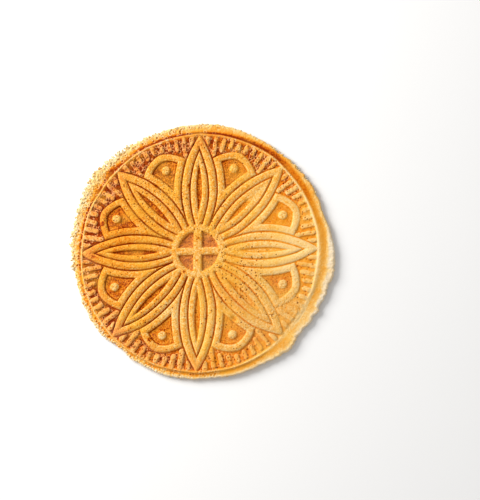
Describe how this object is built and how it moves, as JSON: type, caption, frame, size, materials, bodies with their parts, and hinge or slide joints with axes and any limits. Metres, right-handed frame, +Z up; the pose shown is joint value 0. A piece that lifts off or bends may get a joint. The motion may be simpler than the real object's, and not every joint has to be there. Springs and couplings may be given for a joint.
{
  "type": "pizzelle wafer cookie",
  "caption": "thin round crisp wafer cookie, moulded on both faces with a rosette of petals round a crossed hub, with a border ring and a thin uneven edge",
  "frame": {"origin": "on the underside, in the middle of the rosette's hub, in the plane of the tops of the underside's ridges, which the wafer rests on", "axes": "+Z up out of the upper patterned face, through the wafer's thickness; +Y to the petal at twelve o'clock; +X to the petal at three o'clock"},
  "size_m": [0.1265, 0.1241, 0.0033],
  "materials": {
    "baked_wafer": "satin"
  },
  "bodies": {
    "root": {"pizzelle": "baked_wafer"}
  },
  "joints": []
}
